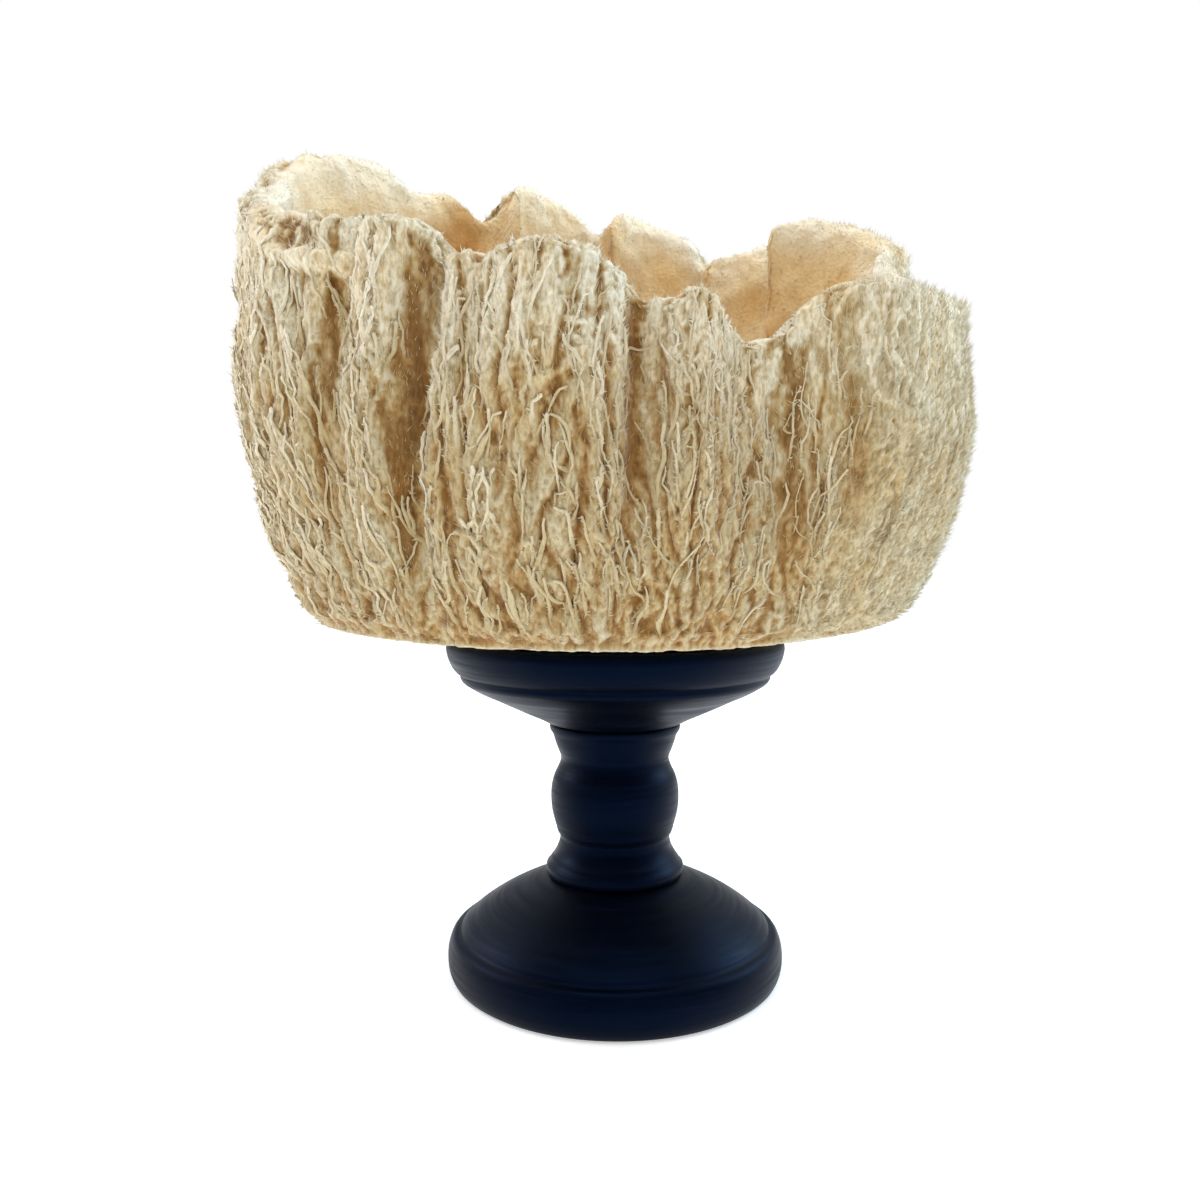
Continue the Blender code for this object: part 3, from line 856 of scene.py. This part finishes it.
def nap(skin, rng):
    """Short hairs all over the wall, its rim and the upper inside, close and long on the velvety lobe."""
    count = NAP_HAIRS

    def keep(a, s):
        return np.where(s < 0.96, 0.35 + 0.65 * velvet(a), 0.45)

    azimuth, share = scattered(count, keep, rng, highest=1.3)
    point, normal, _, _ = wall_frame(azimuth, share)
    up = unit(wall_point(azimuth, share + 0.01) - wall_point(azimuth, share))
    sideways = np.cross(up, normal)
    past, half = past_ridge(azimuth, share)
    inside = smooth(0, 2 * half, past)
    sunk = (skin.at(skin.height, azimuth, share) - 0.35)[:, None]
    roots = skin.at(skin.place, azimuth, share) + normal * sunk
    flow = FLOW * gradient_noise(point / FLOW_SCALE, SEED + 10)
    flow = np.radians(flow + rng.normal(0, 28, count))[:, None]
    stand = (rng.uniform(0.25, 1.1, count) + 4 * inside)[:, None]
    direction = unit(np.cos(flow) * up - np.sin(flow) * sideways + stand * normal)
    length = rng.uniform(1.3, 3.0, count) * (1 + 0.25 * velvet(azimuth)) * (1 - 0.5 * inside)
    tips = roots + direction * length[:, None]
    width = rng.uniform(0.13, 0.26, count)
    # Painted shade: hairs are darker down in the grooves outside, and down in the cup and its recesses
    # inside.
    outer = ridge_tone(skin, azimuth, share, rng)
    inner = rng.uniform(0.8, 0.97, count) - 0.6 * painted_inner_shade(azimuth, past)
    tone = np.where(past > half, inner, 0.15 + outer).clip(0.02, 0.97)
    return hairs("sponge_nap_", azimuth, roots, tips, normal, width, tone, 0.25)


def linear(*colour):
    """A colour as a screen shows it, 0 to 255, as the linear values that a shader takes."""
    values = [((c / 255 + 0.055) / 1.055) ** 2.4 if c > 10 else c / 255 / 12.92 for c in colour]
    return (*values, 1.0)


# On the skin these run from AMBER, painted shade deep in the grooves, through HONEY and STRAW to CREAM on
# the crests. TAN is painted shade down in the cup and in its recesses.
AMBER = linear(144, 108, 58)
HONEY = linear(182, 152, 102)
STRAW = linear(204, 192, 158)
CREAM = linear(236, 230, 208)
TAN = linear(200, 154, 92)
PALE = linear(246, 240, 222)
WHITE = (1.0, 1.0, 1.0, 1.0)
SOFT = {
    "Specular_IOR_Level": 0.1, "Sheen_Weight": 0.6,
    "Sheen_Tint": linear(250, 248, 240), "Sheen_Roughness": 0.5,
}


def feed(tree, inputs, name, value):
    """Links a socket to one of these inputs, or sets the input to a value."""
    if isinstance(value, bpy.types.NodeSocket):
        tree.links.new(value, inputs[name])
    else:
        inputs[name].default_value = value


def node(tree, kind, **values):
    """A shader node with these settings and inputs. An input is a socket or a value, and a space in its name
    is an underscore here."""
    made = tree.nodes.new(kind)
    for name, value in values.items():
        if hasattr(made, name):
            setattr(made, name, value)
        else:
            feed(tree, made.inputs, name.replace("_", " "), value)
    return made


def ramp(tree, factor, *stops):
    """A colour ramp over a socket, from its stops as (position, colour)."""
    made = node(tree, "ShaderNodeValToRGB", Fac=factor)
    elements = made.color_ramp.elements
    while len(elements) < len(stops):
        elements.new(0.5)
    for element, (position, colour) in zip(elements, stops):
        element.position = position
        element.color = colour
    return made.outputs["Color"]


def mix(tree, kind, factor, first, second):
    """Two colours mixed. Each of the three is a socket or a value."""
    made = node(tree, "ShaderNodeMix", data_type="RGBA", blend_type=kind)
    inputs = {socket.identifier: socket for socket in made.inputs}
    for name, value in (("Factor_Float", factor), ("A_Color", first), ("B_Color", second)):
        feed(tree, inputs, name, value)
    return next(o for o in made.outputs if o.identifier == "Result_Color")


def noise_socket(tree, vector, scale, detail):
    return node(tree, "ShaderNodeTexNoise", Vector=vector, Scale=scale, Detail=detail).outputs["Fac"]


def stretched(tree, vector, scale):
    """Coordinates scaled by a different amount each way."""
    return node(tree, "ShaderNodeMapping", Vector=vector, Scale=scale).outputs["Vector"]


def bumped(tree, shader, height, strength, distance):
    """Gives a shader a bump from a socket of heights."""
    bump = node(tree, "ShaderNodeBump", Height=height, Strength=strength, Distance=distance)
    feed(tree, shader.inputs, "Normal", bump.outputs["Normal"])


def surface(name, **inputs):
    """A material, its tree and its shader, with these inputs. Most colours are still to come."""
    made = bpy.data.materials.new(name)
    made.use_nodes = True
    tree = made.node_tree
    shader = tree.nodes["Principled BSDF"]
    for socket, value in inputs.items():
        feed(tree, shader.inputs, socket.replace("_", " "), value)
    return made, tree, shader


def skin_material():
    """Amber painted shade deep in the grooves, straw on their sides and cream on the crests, paler on the
    velvet, and painted shade down in the cup.
    """
    made, tree, shader = surface("sponge skin", Roughness=0.95, **SOFT)
    tone = node(tree, "ShaderNodeAttribute", attribute_name="tone").outputs["Color"]
    parts = node(tree, "ShaderNodeSeparateColor", Color=tone).outputs
    place = node(tree, "ShaderNodeTexCoord").outputs["Object"]
    outer = ramp(tree, parts["Red"], (0.0, AMBER), (0.35, HONEY), (0.68, STRAW), (0.95, CREAM))
    soft = ramp(tree, parts["Red"], (0.1, HONEY), (0.5, STRAW), (0.95, CREAM))
    inner = ramp(tree, parts["Red"], (0.0, TAN), (0.4, linear(232, 206, 158)),
                 (0.7, linear(242, 230, 200)), (1.0, PALE))
    colour = mix(tree, "MIX", parts["Green"], outer, soft)
    colour = mix(tree, "MIX", parts["Blue"], colour, inner)
    blotch = ramp(tree, noise_socket(tree, place, 45, 3), (0.35, linear(255, 238, 208)), (0.65, WHITE))
    colour = mix(tree, "MULTIPLY", 0.8, colour, blotch)
    grain = noise_socket(tree, stretched(tree, place, (1000, 1000, 420)), 1, 3)
    velvety = noise_socket(tree, place, 800, 3)
    fibre = node(tree, "ShaderNodeMix")
    for k, value in ((0, parts["Blue"]), (2, grain), (3, velvety)):
        feed(tree, fibre.inputs, k, value)
    fibre = fibre.outputs[0]
    speck = ramp(tree, fibre, (0.32, linear(206, 186, 150)), (0.58, WHITE))
    amount = node(tree, "ShaderNodeMapRange", Value=parts["Blue"], To_Min=0.9, To_Max=0.12)
    colour = mix(tree, "MULTIPLY", amount.outputs["Result"], colour, speck)
    feed(tree, shader.inputs, "Base Color", colour)
    bumped(tree, shader, fibre, 0.6, 0.001)
    return made


def strand_material(root, middle, tip):
    """The colour runs from root to tip along the UV, darker at the root as painted shade, and each strand
    has its own tone across it, which holds the painted shade of where it lies.
    """
    made, tree, shader = surface("sponge fibre", Roughness=0.9, **SOFT)
    place = node(tree, "ShaderNodeUVMap", uv_map="OFBake").outputs["UV"]
    parts = node(tree, "ShaderNodeSeparateXYZ", Vector=place).outputs
    along = ramp(tree, parts["X"], (0.0, root), (0.35, middle), (0.9, tip))
    tone = ramp(tree, parts["Y"], (0.0, linear(170, 136, 86)), (0.35, linear(206, 184, 142)),
                (0.7, linear(230, 219, 193)), (1.0, linear(255, 252, 244)))
    knob = noise_socket(tree, stretched(tree, place, (16, 150, 1)), 1, 3)
    shade = ramp(tree, knob, (0.3, linear(226, 214, 190)), (0.55, WHITE))
    colour = mix(tree, "MULTIPLY", 1.0, along, tone)
    feed(tree, shader.inputs, "Base Color", mix(tree, "MULTIPLY", 0.6, colour, shade))
    bumped(tree, shader, knob, 0.35, 0.0005)
    return made


def wood_material():
    """Black-navy paint on turned wood, with fine lines round the turning and brushed, cloudy streaks."""
    made, tree, shader = surface(
        "ebonised wood", Specular_IOR_Level=0.12, Specular_Tint=(0.08, 0.35, 1, 1), Sheen_Weight=0.0
    )
    place = node(tree, "ShaderNodeTexCoord").outputs["Object"]
    streak = noise_socket(tree, stretched(tree, place, (30, 30, 900)), 1, 4)
    cloud = noise_socket(tree, place, 60, 3)
    base = ramp(tree, streak, (0.35, linear(2, 3, 9)), (0.6, linear(4, 6, 18)), (0.8, linear(12, 16, 36)))
    worn = ramp(tree, cloud, (0.4, linear(150, 150, 170)), (0.7, WHITE))
    feed(tree, shader.inputs, "Base Color", mix(tree, "MULTIPLY", 0.7, base, worn))
    rough = node(tree, "ShaderNodeMapRange", Value=streak,
                 From_Min=0.3, From_Max=0.75, To_Min=0.36, To_Max=0.56)
    feed(tree, shader.inputs, "Roughness", rough.outputs["Result"])
    bumped(tree, shader, streak, 0.35, 0.0002)
    return made


def smooth_run(run):
    """One run of a turned profile, as a smooth curve through its points cut in even steps."""
    run = np.array(run, float)
    length = np.concatenate([[0], np.cumsum(np.linalg.norm(np.diff(run, axis=0), axis=1))])
    straight = len(run) == 2
    slope = np.diff(run, axis=0)[[0, 0]] / length[1] if straight else np.gradient(run, length, axis=0)
    at = np.linspace(0, length[-1], max(2, round(length[-1] / PROFILE_STEP) + 1))
    before = np.clip(np.searchsorted(length, at, side="right") - 1, 0, len(run) - 2)
    span = (length[before + 1] - length[before])[:, None]
    return curve(run, slope, before, (at - length[before])[:, None] / span, span)


def turned(name, *runs):
    """A turned piece from the runs of its profile in (radius, height), bottom first, with a sharp edge
    between two runs. Each run goes on from the end of the one before. The first starts on the axis."""
    profile, start = [], (0, runs[0][0][1])
    for run in runs:
        profile.append(smooth_run([start, *run])[(0 if run is runs[0] else 1):])
        start = run[-1]
    profile = np.concatenate(profile)
    azimuth = np.arange(TURNING_STEPS) * 360 / TURNING_STEPS
    rows = np.array([cylinder(azimuth, r, z * np.ones_like(azimuth)) for r, z in profile[1:-1]])
    return grid_piece(name, rows, (0, 0, profile[0, 1]), (0, 0, profile[-1, 1]))


def stand_pieces():
    top = turned(
        "stand_top_turned", [(6.3, 87.3)], [(6.3, 76.3)], [(20.4, 76.3)],
        [(22.2, 77.3), (28.4, 80.2), (36.5, 84.1), (43.9, 87.8), (46.3, 89.6), (46.7, 90.4)],
        [(46.2, 90.8), (46.3, 91.4), (47.2, 91.6)],
        [(48.3, 92.6), (49.7, 94.9), (50.6, 97.7), (50.8, 99.8), (50.3, 101.1), (49.2, STAND_HEIGHT)],
        [(0, STAND_HEIGHT)],
    )
    stem = turned(
        "stand_stem_turned", [(6, 19.7)], [(6, 29.7)], [(20.2, 29.7)],
        [(20.8, 30.5), (21.0, 31.8), (20.7, 33.0), (19.9, 33.6)], [(19.5, 33.9), (19.6, 34.4)],
        [(18.6, 35.8), (17.3, 38.4), (16.7, 41.0), (16.8, 41.9)],
        [(17.2, 42.4), (18.1, 45.2), (19.1, 49.0), (19.5, 53.6), (19.2, 57.4), (18.3, 60.4), (17.1, 62.9),
         (16.4, 65.4), (17.4, 68.2), (18.4, 71.2), (18.7, 72.4)],
        [(18.4, 72.7), (18.5, 73.1), (19.2, 73.3)], [(19.7, 74.0), (19.9, 75.2), (19.6, 76.0)],
        [(6, 76)], [(6, 86)], [(0, 86)],
    )
    foot = turned(
        "stand_foot_turned", [(47.6, 0)],
        [(49.2, 0.6), (50.3, 2.6), (50.8, 6.2), (50.3, 10.2), (49.2, 12.6), (48.2, 13.4)],
        [(47.4, 13.3), (47.0, 13.5)], [(47.0, 14.2), (46.6, 14.5)],
        [(44.3, 16.6), (38.5, 20.8), (30.5, 25.2), (24, 28.0), (21.2, 29.2)],
        [(20.6, 29.4), (6.3, 29.4)], [(6.3, 18.4)], [(0, 18.4)],
    )
    return {"stand_top": top, "stand_stem": stem, "stand_foot": foot}


def area_light(name, azimuth, elevation, distance, size, power, colour):
    """A round soft light that looks at the sponge's foot."""
    light = bpy.data.lights.new(name, "AREA")
    light.shape = "DISK"
    light.size = size
    light.energy = power
    light.color = colour
    lamp = bpy.data.objects.new(name, light)
    turn, rise = math.radians(azimuth), math.radians(elevation)
    away = Vector((math.cos(turn) * math.cos(rise), math.sin(turn) * math.cos(rise), math.sin(rise)))
    lamp.location = Vector(LIGHTS_AIM) + away * distance
    lamp.rotation_euler = away.to_track_quat("Z", "Y").to_euler()
    bpy.context.scene.collection.objects.link(lamp)


def studio():
    """A pale floor, a pale surround, and large soft lights."""
    scene = bpy.context.scene
    scene.view_settings.view_transform = "Standard"
    bpy.ops.mesh.primitive_circle_add(vertices=96, radius=8, fill_type="NGON")
    floor = bpy.context.object
    floor.name = "studio_floor"
    floor.data.materials.append(surface(
        "pale floor", Roughness=0.9, Specular_IOR_Level=0.1, Base_Color=(0.9, 0.9, 0.9, 1),
        Emission_Color=WHITE, Emission_Strength=0.5,
    )[0])
    world = bpy.data.worlds.new("studio")
    scene.world = world
    world.use_nodes = True
    tree = world.node_tree
    place = node(tree, "ShaderNodeTexCoord").outputs["Generated"]
    parts = node(tree, "ShaderNodeSeparateXYZ", Vector=place).outputs
    rise = node(tree, "ShaderNodeMath")
    feed(tree, rise.inputs, 0, parts["Y"])
    feed(tree, rise.inputs, 1, parts["Z"])
    strength = node(tree, "ShaderNodeMapRange", Value=rise.outputs["Value"],
                    From_Min=-1.0, From_Max=1.2, To_Min=0.1, To_Max=0.85)
    back = tree.nodes["Background"]
    feed(tree, back.inputs, "Color", (0.93, 0.96, 1.0, 1))
    feed(tree, back.inputs, "Strength", strength.outputs["Result"])
    seen = node(tree, "ShaderNodeBackground", Color=WHITE)
    both = node(tree, "ShaderNodeMixShader", Fac=node(tree, "ShaderNodeLightPath").outputs["Is Camera Ray"])
    feed(tree, both.inputs, 1, back.outputs["Background"])
    feed(tree, both.inputs, 2, seen.outputs["Background"])
    feed(tree, tree.nodes["World Output"].inputs, "Surface", both.outputs["Shader"])
    for light in LIGHTS:
        area_light(*light)


def camera():
    """At the photograph's place: close, a little above the sponge's foot, with a wide lens."""
    lens = bpy.data.cameras.new("camera")
    lens.lens = CAMERA_LENS
    lens.sensor_width = CAMERA_SENSOR
    lens.clip_start = 0.01
    seen_from = bpy.data.objects.new("camera", lens)
    seen_from.location = CAMERA_PLACE
    seen_from.rotation_euler = (math.radians(90 - CAMERA_DOWN), 0, math.radians(CAMERA_TURN))
    bpy.context.scene.collection.objects.link(seen_from)
    bpy.context.scene.camera = seen_from


def main():
    rng = np.random.default_rng(SEED)
    skin = Skin()
    embed_slim_strands(skin, rng)
    embed_cords(skin, rng)
    embed_locks(skin, rng)
    skin.finish()
    sponge = skin.pieces()
    surface_look = skin_material()
    for piece in sponge:
        piece.data.materials.append(surface_look)
        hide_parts("sponge")
    # Root, middle and tip: the darker root is painted shade.
    fibre = strand_material(linear(188, 164, 118), linear(236, 226, 200), linear(248, 243, 228))
    for made in (cords(skin, rng), nap(skin, rng)):
        for piece in made:
            piece.data.materials.append(fibre)
            sponge.append(piece)
    for piece in sponge:
        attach(piece, "root")
    wood = wood_material()
    for name, piece in stand_pieces().items():
        piece.data.materials.append(wood)
        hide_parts(name)
        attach(piece, "root")
    studio()
    camera()


main()
